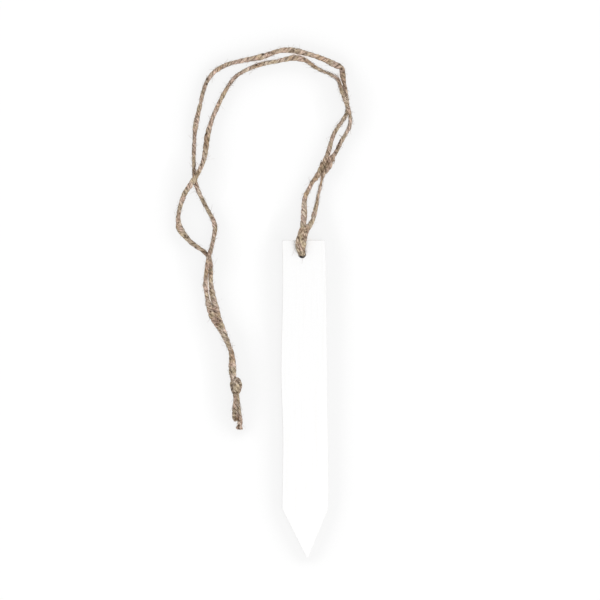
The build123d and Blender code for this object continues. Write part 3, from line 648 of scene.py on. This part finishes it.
def jute_twine_finish(settings):
    """Two-ply natural jute twine, dry spun and unbleached: long coarse fibres that shine
    a little along their length, greyed beige with browner and yellower stretches, painted
    shade in the creases between the plies, on the lower flanks and in some of the dark specks,
    and brown where it was retted or has frayed."""
    material, tree = new_material("jute_twine_two_ply")
    lay = add_node(tree, "UVMap", uv_map="fibre_lay")
    # Spun fibres wind 9 degrees off the ply, in bundles 0.28 mm wide and 1.6 mm long
    turned = add_node(tree, "Mapping", {"Vector": lay, "Rotation": (0, 0, math.radians(9)),
                      "Scale": (0.0016, settings.fibre_width, 1)}, vector_type="TEXTURE")
    bundles = add_node(tree, "TexNoise", {"Vector": turned, "Scale": 1, "Detail": 3, "Roughness": 0.6})
    # Stretches of one tone are about 9 mm long, the patches that lean to olive or to pink
    # 2.5 mm, and the blotches 0.8 mm
    place = add_node(tree, "TexCoord").outputs["Object"]
    stretches, patches, blotches = (
        add_node(tree, "TexNoise", {"Vector": place, "Scale": 1 / size, "Detail": detail})
        for size, detail in ((0.009, 2), (0.0025, 3), (0.0008, 2)))
    stretch = add_node(tree, "SeparateColor", {"Color": stretches.outputs["Color"]}).outputs
    shade, crease, fray, stain = (add_node(tree, "Attribute", attribute_name=name).outputs["Fac"]
                                  for name in ("shade", "crease", "fray", "stain"))
    # Each share rises smoothly from none to its most as a value goes from one end to another
    lit, brown, pale, olive, pink, blotch = (
        add_node(tree, "MapRange", {"Value": value, "From Min": low, "From Max": high, "To Max": most},
                 interpolation_type="SMOOTHSTEP")
        for value, low, high, most in (
            (bundles, 0.33, 0.67, 1), (stretch[0], 0.45, 0.65, 1), (stretch[1], 0.42, 0.66, 0.8),
            (patches, 0.5, 0.6, 0.8), (patches, 0.49, 0.39, 0.7), (blotches, 0.54, 0.68, 0.7)))
    darkness = add_node(tree, "MapRange", {"Value": shade, "From Min": 0.6, "From Max": 0})
    # Pale stretches are greyer, so less of the brown shows in them
    calm = add_node(tree, "MapRange", {"Value": shade, "From Min": 0.6, "From Max": 0.95,
                    "To Min": 1, "To Max": 0.1})
    calmed = add_node(tree, "Math", {0: brown, 1: calm}, operation="MULTIPLY")
    browned = add_node(tree, "Math", {0: calmed, 1: darkness}, operation="MAXIMUM")
    bundle_light = add_node(tree, "MapRange", {"Value": lit, "To Min": 0.36, "To Max": 1.64})
    ply_light = add_node(tree, "MapRange", {"Value": shade, "To Min": 0.8, "To Max": 1.22}, clamp=False)
    tone = tuple(settings.greyed_fibre)
    for share, colour in ((browned, settings.warm_fibre), (pale, settings.pale_fibre),
                          (olive, settings.olive_fibre), (pink, settings.pink_fibre)):
        tone = add_node(tree, "Mix", {0: share, 6: tone, 7: tuple(colour)}, data_type="RGBA")
    for light in (bundle_light, ply_light):
        tone = add_node(tree, "VectorMath", {0: tone, "Scale": light}, operation="SCALE")
    # The creases and lower flanks take a painted shade, and the specks are partly painted shade in the gaps
    # between strands
    for share, colour in ((blotch, settings.brown_fibre), (crease, settings.crease_shade),
                          (fray, settings.frayed_brown), (stain, settings.speck_and_gap_shade_brown)):
        tone = add_node(tree, "Mix", {0: share, 6: tone, 7: tuple(colour)}, data_type="RGBA")
    relief = add_node(tree, "Bump", {"Height": bundles, "Strength": 0.7, "Distance": 0.00012})
    skin = add_node(tree, "BsdfPrincipled", {"Base Color": tone, "Roughness": 0.78,
                    "Specular IOR Level": 0.25, "Normal": relief})
    add_node(tree, "OutputMaterial", {"Surface": skin})
    return material


def jute_hair_finish(settings):
    """Loose single jute fibres: straw to grey brown, a little shinier than the twine and
    thin enough to look paler against the light."""
    material, tree = new_material("jute_loose_fibre")
    shade = add_node(tree, "Attribute", attribute_name="shade").outputs["Fac"]
    tone = add_node(tree, "Mix", {0: shade, 6: tuple(settings.brown_fibre), 7: tuple(settings.pale_fibre)},
                    data_type="RGBA")
    skin = add_node(tree, "BsdfPrincipled", {"Base Color": tone, "Roughness": 0.55,
                    "Specular IOR Level": 0.35})
    add_node(tree, "OutputMaterial", {"Surface": skin})
    return material


def painted_wood_finish(settings):
    """Close-grained wood under a thin coat of matt white paint: nearly flat white, with
    the grain just felt through it, finer stipple from the roller, thinner paint on the
    sawn edges, and bare wood in the hole, which was drilled after painting; that wood is
    made darker than its own colour, as painted shade inside the hole."""
    material, tree = new_material("matt_white_paint_on_wood")
    place = add_node(tree, "TexCoord").outputs
    # Grain lines 0.7 mm apart run 35 mm along the stake
    grain_lay = add_node(tree, "Mapping", {"Vector": place["Object"], "Scale": (settings.grain_width, 0.035,
                         settings.grain_width)}, vector_type="TEXTURE")
    grain = add_node(tree, "TexNoise", {"Vector": grain_lay, "Scale": 1, "Detail": 3, "Roughness": 0.55})
    # The roller leaves a stipple of about 0.35 mm
    stipple = add_node(tree, "TexNoise", {"Vector": place["Object"], "Scale": 1 / 0.00035, "Detail": 2})
    facing = add_node(tree, "SeparateXYZ", {"Vector": place["Normal"]}).outputs["Z"]
    flatness = add_node(tree, "Math", {0: facing}, operation="ABSOLUTE")
    parts = add_node(tree, "SeparateXYZ", {"Vector": place["Object"]}).outputs
    level = add_node(tree, "CombineXYZ", {"X": parts["X"], "Y": parts["Y"]})
    hole = (*on_stake((0, HOLE_ALONG, BLADE_THICKNESS / 2))[:2], 0)
    from_hole = add_node(tree, "VectorMath", {0: level, 1: hole}, operation="DISTANCE")
    # Thin spots over the grain, the sawn edges, and the wall of the hole, whose bare wood carries painted
    # shade
    tone = tuple(settings.paint)
    for value, low, high, most, colour in (
            (grain, 0.5, 0.8, 0.2, settings.thin_paint), (flatness, 0.85, 0.2, 0.8, settings.thin_paint),
            (from_hole, *HOLE_RIM, 1, settings.bare_wood_and_hole_shade)):
        share = add_node(tree, "MapRange", {"Value": value, "From Min": low, "From Max": high,
                         "To Max": most}, interpolation_type="SMOOTHSTEP")
        tone = add_node(tree, "Mix", {0: share, 6: tone, 7: tuple(colour)}, data_type="RGBA")
    relief = add_node(tree, "Bump", {"Height": grain, "Strength": 0.35, "Distance": 0.00012})
    relief = add_node(tree, "Bump", {"Height": stipple, "Strength": 0.12, "Distance": 0.00004,
                      "Normal": relief})
    skin = add_node(tree, "BsdfPrincipled", {"Base Color": tone, "Roughness": 0.6, "Specular IOR Level": 0.3,
                    "Normal": relief})
    add_node(tree, "OutputMaterial", {"Surface": skin})
    return material


def seen_rays(tree):
    """One for the rays that a camera sends, straight, by a reflection or through glass, and
    none for those that light a surface."""
    rays = add_node(tree, "LightPath").outputs
    seen = add_node(tree, "Math", {0: rays["Is Camera Ray"], 1: rays["Is Glossy Ray"]}, operation="MAXIMUM")
    return add_node(tree, "Math", {0: seen, 1: rays["Is Transmission Ray"]}, operation="MAXIMUM")


def white_card_finish(settings):
    """White card under the object, lit so evenly that it shows as plain white, apart from
    the soft shade close to what lies on it: that falls off over the shade's reach and is
    darkest right under the object."""
    material, tree = new_material("white_card")
    near = add_node(tree, "AmbientOcclusion", {"Distance": settings.shade_reach}, samples=32).outputs["AO"]
    hidden = add_node(tree, "Math", {0: 1.0, 1: near}, operation="SUBTRACT")
    spread = add_node(tree, "Math", {0: hidden, 1: 0.55}, operation="POWER")
    halo = add_node(tree, "MapRange", {"Value": spread, "From Max": 0.24, "To Min": 1.0,
                    "To Max": settings.shade_level})
    # The card under the hole lies in the stake's deep shade
    place = add_node(tree, "TexCoord").outputs["Object"]
    hole = (*on_stake((0, HOLE_ALONG, 0))[:2], 0)
    from_hole = add_node(tree, "VectorMath", {0: place, 1: hole}, operation="DISTANCE")
    under_hole, deep = (
        add_node(tree, "MapRange", {"Value": value, "From Min": low, "From Max": high, "To Max": most},
                 interpolation_type="SMOOTHSTEP")
        for value, low, high, most in ((from_hole, *HOLE_SHADE, 1), (hidden, 0.7, 0.92, 0.98)))
    darkened = add_node(tree, "Math", {0: under_hole, 1: deep}, operation="MULTIPLY")
    kept = add_node(tree, "Math", {0: 1.0, 1: darkened}, operation="SUBTRACT")
    level = add_node(tree, "Math", {0: halo, 1: kept}, operation="MULTIPLY")
    # The lit card gives 0.12 of what is seen, and this makes the sum 1 where nothing is near
    plain = add_node(tree, "Math", {0: level, 1: 1.03}, operation="MULTIPLY")
    card = add_node(tree, "BsdfDiffuse", {"Color": linear("#F2F2F2")})
    # Between two strands the card gets a warm painted tint, standing for light bounced off the
    # jute, and none where the stake lies
    between = add_node(tree, "MapRange", {"Value": hidden, "From Min": 0.6, "From Max": 0.85})
    parts = add_node(tree, "SeparateXYZ", {"Vector": place}).outputs
    aside = add_node(tree, "Math", {0: parts["X"]}, operation="ABSOLUTE")
    beside, beyond = (add_node(tree, "MapRange", {"Value": value, "From Min": low, "From Max": high})
                      for value, low, high in ((aside, *BESIDE_STAKE), (parts["Y"], *BEYOND_HEAD)))
    off_stake = add_node(tree, "Math", {0: beside, 1: beyond}, operation="MAXIMUM")
    bounce_tint_share = add_node(tree, "Math", {0: between, 1: off_stake}, operation="MULTIPLY")
    painted_bounce_tint = add_node(tree, "Mix", {0: bounce_tint_share, 6: (1, 1, 1, 1), 7: linear("#FFEEE4")}, data_type="RGBA")
    plain_white = add_node(tree, "Emission", {"Color": painted_bounce_tint, "Strength": plain})
    shaded = add_node(tree, "MixShader", {0: 0.12, 1: plain_white, 2: card})
    skin = add_node(tree, "MixShader", {0: seen_rays(tree), 1: card, 2: shaded})
    add_node(tree, "OutputMaterial", {"Surface": skin})
    return material


# Settings

COLOUR = {"size": 4, "min": 0, "max": 1, "subtype": "COLOR"}
LENGTH = {"unit": "LENGTH", "precision": 6}


class LabelTwineSettings(bpy.types.PropertyGroup):
    """Sizes and colours of the jute twine"""

    twine_width: bpy.props.FloatProperty(
        name="Twine width", description="Width across both plies", default=0.0017,
        min=0.001, max=0.004, **LENGTH)
    ply_turn: bpy.props.FloatProperty(
        name="Lay length", description="Length in which a ply makes one full turn", default=0.0048,
        min=0.002, max=0.02, **LENGTH)
    ring_step: bpy.props.FloatProperty(
        name="Ring step", description="Distance between the rings of the twine's mesh", default=0.00016,
        min=0.00005, max=0.001, **LENGTH)
    fibre_width: bpy.props.FloatProperty(
        name="Fibre width", description="Width of one bundle of fibres in a ply", default=0.00028,
        min=0.00003, max=0.001, **LENGTH)
    hair_thickness: bpy.props.FloatProperty(
        name="Loose fibre thickness", description="Half width of a loose fibre", default=0.000028,
        min=0.000005, max=0.0002, **LENGTH)
    hairs_per_leg: bpy.props.IntProperty(
        name="Raised fibres", description="Raised loose fibres on each leg", default=130, min=0, max=6000)
    greyed_fibre: bpy.props.FloatVectorProperty(
        name="Greyed fibre", description="Colour of most of the twine", default=linear("#BBA998"), **COLOUR)
    warm_fibre: bpy.props.FloatVectorProperty(
        name="Warm fibre", description="Colour of the browner stretches", default=linear("#B79A7D"), **COLOUR)
    pale_fibre: bpy.props.FloatVectorProperty(
        name="Pale fibre", description="Colour of the palest fibres", default=linear("#D2C3B2"), **COLOUR)
    olive_fibre: bpy.props.FloatVectorProperty(
        name="Olive fibre", description="Colour of the olive patches", default=linear("#B5A58A"), **COLOUR)
    pink_fibre: bpy.props.FloatVectorProperty(
        name="Pink fibre", description="Colour of the pinkish patches", default=linear("#C2A89A"), **COLOUR)
    brown_fibre: bpy.props.FloatVectorProperty(
        name="Brown fibre", description="Colour of the brown blotches", default=linear("#7A5F44"), **COLOUR)
    # Painted shade: the colour mixed in deep between the plies and on the twine's lower flanks
    crease_shade: bpy.props.FloatVectorProperty(
        name="Crease", description="Colour deep between the plies", default=linear("#563F2B"), **COLOUR)
    frayed_brown: bpy.props.FloatVectorProperty(
        name="Frayed end", description="Colour of the frayed brown end", default=linear("#6E5133"), **COLOUR)
    # Dark specks and the painted shade in gaps between strands share this colour
    speck_and_gap_shade_brown: bpy.props.FloatVectorProperty(
        name="Specks", description="Colour of the dark specks", default=linear("#4F3D2A"), **COLOUR)


class LabelBladeSettings(bpy.types.PropertyGroup):
    """Size and colours of the stake's finish"""

    grain_width: bpy.props.FloatProperty(
        name="Grain spacing", description="Distance between the wood's grain lines", default=0.0007,
        min=0.0001, max=0.01, **LENGTH)
    paint: bpy.props.FloatVectorProperty(
        name="Paint", description="Colour of the full coat of paint", default=linear("#FCFCFC"), **COLOUR)
    thin_paint: bpy.props.FloatVectorProperty(
        name="Thin paint", description="Colour where the wood shows through",
        default=linear("#F3F0EA"), **COLOUR)
    # The wood in the hole is darker than bare wood is, as painted shade inside the hole
    bare_wood_and_hole_shade: bpy.props.FloatVectorProperty(
        name="Bare wood", description="Colour of the wood inside the hole",
        default=linear("#3E3026"), **COLOUR)


class LabelStageSettings(bpy.types.PropertyGroup):
    """Camera, floor and lamps"""

    view_width: bpy.props.FloatProperty(
        name="View width", description="Width of the table that the picture covers", default=0.20833,
        min=0.01, max=2, **LENGTH)
    view_middle: bpy.props.FloatVectorProperty(
        name="View middle", description="Point of the table under the camera", default=(-0.0017, 0.03426),
        size=2, subtype="XYZ", **LENGTH)
    camera_height: bpy.props.FloatProperty(
        name="Camera height", description="Height of the camera above the table", default=0.8,
        min=0.1, max=5, **LENGTH)
    shade_reach: bpy.props.FloatProperty(
        name="Shade reach", description="How far the soft shade reaches on the card", default=0.0115,
        min=0.001, max=0.1, **LENGTH)
    shade_level: bpy.props.FloatProperty(
        name="Shade level", description="Brightness of the card beside the object", default=0.915,
        min=0, max=1, subtype="FACTOR")
    sky_level: bpy.props.FloatProperty(
        name="Even light", description="Strength of the even light from all round", default=0.72,
        min=0, max=2)
    lamp_power: bpy.props.FloatProperty(
        name="Lamp power", description="Power of both soft lamps together", default=4,
        min=0, max=100, unit="POWER")


# Operators


class LABEL_OT_stage(bpy.types.Operator):
    """Makes the camera straight above the object, the white card, the lamps and the world"""

    bl_idname = "plant_label.stage"
    bl_label = "Camera, card and light"

    def execute(self, context):
        settings = context.scene.label_stage
        camera = bpy.data.objects.new("camera", bpy.data.cameras.new("camera"))
        camera.location = (*settings.view_middle, settings.camera_height)
        camera.data.sensor_width = SENSOR_WIDTH
        camera.data.lens = SENSOR_WIDTH * settings.camera_height / settings.view_width
        context.scene.collection.objects.link(camera)
        context.scene.camera = camera

        # The card is a square grid, and each face joins a corner to its three neighbours
        across = np.linspace(-CARD_HALF, CARD_HALF, CARD_SQUARES + 1)
        x, y = np.meshgrid(across, across)
        row = CARD_SQUARES + 1
        corner = (np.arange(CARD_SQUARES)[:, None] * row + np.arange(CARD_SQUARES)).reshape(-1, 1)
        mesh = bpy.data.meshes.new("card")
        mesh.from_pydata(np.stack([x, y, 0 * x], -1).reshape(-1, 3).tolist(), [],
                         (corner + np.array([0, 1, row + 1, row])).tolist())
        mesh.materials.append(white_card_finish(settings))
        card = bpy.data.objects.new("card", mesh)
        context.scene.collection.objects.link(card)

        for name, (place, size, share) in LAMPS.items():
            lamp = bpy.data.lights.new(name, "AREA")
            lamp.size = size
            lamp.energy = settings.lamp_power * share
            holder = bpy.data.objects.new(name, lamp)
            holder.location = place
            x, y, z = np.array(place) - LAMP_AIM
            holder.rotation_euler = (math.atan2(math.hypot(x, y), z), 0, math.atan2(y, x) + math.pi / 2)
            context.scene.collection.objects.link(holder)

        world = bpy.data.worlds.new("even_light")
        world.use_nodes = True
        tree = world.node_tree
        tree.nodes.clear()
        strength = add_node(tree, "MapRange", {"Value": seen_rays(tree), "To Min": settings.sky_level})
        sky = add_node(tree, "Background", {"Color": (1, 1, 1, 1), "Strength": strength})
        add_node(tree, "OutputWorld", {"Surface": sky})
        context.scene.world = world
        context.scene.view_settings.view_transform = "Standard"
        return {"FINISHED"}


class LABEL_OT_twine(bpy.types.Operator):
    """Makes both legs of the twine, each from the hole in the stake to its own tail"""

    bl_idname = "plant_label.twine"
    bl_label = "Twine legs and tails"

    def execute(self, context):
        settings = context.scene.label_twine
        jute_twine_finish(settings)
        for name, leg in LEGS.items():
            frames = frames_along(leg_line(leg, settings))
            run = frames["run"]
            most, reach = leg["opened"]
            width = leg_width(frames, leg, settings) * rounded_ends(run, CUT_ROUNDING)
            piece = add_twine(name, frames, width, settings, leg["seed"], 0.6,
                              opening=most * np.clip(1 - (run[-1] - run) / reach, 0, 1))
            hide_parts(*leg["nodes"])
        return {"FINISHED"}


class LABEL_OT_hitch(bpy.types.Operator):
    """Makes the pulled fold that holds the twine in the hole and closes over both legs"""

    bl_idname = "plant_label.hitch"
    bl_label = "Hitch on the stake's head"

    def execute(self, context):
        settings = context.scene.label_twine
        # The fold goes out of the hole behind, up the back, round the head's edge, over
        # both legs and back down the other side, and is widest in the middle
        line = spline_line(on_stake(HITCH_PLACES), settings.ring_step)
        fold = frames_along(line, on_stake(FOLD_INSIDE) - line)
        run = fold["run"]
        middle = np.exp(-((run - run[-1] / 2) / FOLD_REACH) ** 2)
        core = frames_along(spline_line(on_stake(CORE_PLACES), settings.ring_step))
        for name, frames, share, reach, seed in (
                ("twine_hitch_fold", fold, 0.6 + 0.05 * middle, CUT_ROUNDING, 77),
                ("twine_hitch_core", core, 0.95, CORE_ROUNDING, 91)):
            width = settings.twine_width * share * rounded_ends(frames["run"], reach)
            add_twine(name, frames, width, settings, seed, 1.2, turn=1.3)
        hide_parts("twine_hitch")
        return {"FINISHED"}


class LABEL_OT_knot(bpy.types.Operator):
    """Makes the end knot: a loop of twine drawn round both legs, and the turns inside it"""

    bl_idname = "plant_label.knot"
    bl_label = "End knot"

    def execute(self, context):
        settings = context.scene.label_twine
        for name, (places, share, seed) in KNOT_TURNS.items():
            line = spline_line(beside_knot(places), settings.ring_step / 2)
            frames = frames_along(line, beside_knot(KNOT_INSIDE) - line)
            width = settings.twine_width * share * rounded_ends(frames["run"], KNOT_ROUNDING)
            add_twine(name, frames, width, settings, seed, 0.4, turn=0.9, around=share)
        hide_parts("end_knot")
        return {"FINISHED"}


class LABEL_OT_fibres(bpy.types.Operator):
    """Makes the loose fibres on the twine"""

    bl_idname = "plant_label.fibres"
    bl_label = "Loose fibres"

    def execute(self, context):
        settings = context.scene.label_twine
        material = jute_hair_finish(settings)
        width = settings.twine_width
        thickness = settings.hair_thickness
        count = settings.hairs_per_leg
        for name, leg in LEGS.items():
            line = leg_line(leg, settings)
            frames = frames_along(line)
            whole = frames["run"][-1]
            seed = leg["hair_seed"]
            left = leg["side"] < 0
            # Raised fibres, lying ones, and a tuft at the cut end
            sets = [loose_hairs(frames, seed, count, (0.0004, 0.0011), (0.1, 0.8), width, thickness),
                    loose_hairs(frames, seed + 1, count * LYING_TO_RAISED, (0.0012, 0.0034), (-0.05, 0.08),
                                width * 1.1, thickness * 1.7, stretch=(0.0, 1 - FREE_END / whole)),
                    loose_hairs(frames, seed + 2, TUFT_FIBRES, (0.0003, 0.0008), (0.1, 0.7), width * 0.9,
                                thickness * 1.5, stretch=(1 - TUFT / whole, 1.0))]
            if left:
                sets.append(single_fibres(seed))
            tubes, lengths, shade = (np.concatenate(parts) for parts in zip(*sets))
            piece = put_mesh(name + "_fibres", tubes, lengths, FIBRE_AROUND, material, shade=shade)
        return {"FINISHED"}


class LABEL_OT_blade(bpy.types.Operator):
    """Paints the stake's blade, which keeps its CAD shape"""

    bl_idname = "plant_label.blade"
    bl_label = "Painted stake"

    def execute(self, context):
        material = painted_wood_finish(context.scene.label_blade)
        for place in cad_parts["stake_blade"].material_slots:
            place.material = material
        return {"FINISHED"}


class LABEL_PT_panel(bpy.types.Panel):
    """The label stake's sizes, colours and makers"""

    bl_label = "Plant label stake"
    bl_idname = "LABEL_PT_panel"
    bl_space_type = "VIEW_3D"
    bl_region_type = "UI"
    bl_category = "Plant label"

    def draw(self, context):
        layout = self.layout
        for key in SETTINGS:
            settings = getattr(context.scene, key)
            box = layout.box()
            for name in settings.bl_rna.properties.keys():
                if name not in ("rna_type", "name"):
                    box.prop(settings, name)
        for maker in OPERATORS:
            layout.operator(maker.bl_idname)


SETTINGS = {"label_stage": LabelStageSettings, "label_twine": LabelTwineSettings,
            "label_blade": LabelBladeSettings}
OPERATORS = (LABEL_OT_stage, LABEL_OT_twine, LABEL_OT_hitch, LABEL_OT_knot, LABEL_OT_fibres, LABEL_OT_blade)


def register():
    """Makes the classes known to Blender and gives each scene the settings."""
    for kind in (*SETTINGS.values(), *OPERATORS, LABEL_PT_panel):
        bpy.utils.register_class(kind)
    for name, kind in SETTINGS.items():
        setattr(bpy.types.Scene, name, bpy.props.PointerProperty(type=kind))


def unregister():
    """Takes the settings and the classes away again."""
    for name in SETTINGS:
        delattr(bpy.types.Scene, name)
    for kind in reversed((*SETTINGS.values(), *OPERATORS, LABEL_PT_panel)):
        bpy.utils.unregister_class(kind)


def main():
    """Registers the add-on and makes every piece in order."""
    register()
    bpy.ops.plant_label.stage()
    bpy.ops.plant_label.twine()
    bpy.ops.plant_label.hitch()
    bpy.ops.plant_label.knot()
    bpy.ops.plant_label.fibres()
    bpy.ops.plant_label.blade()


if __name__ == "__main__":
    main()
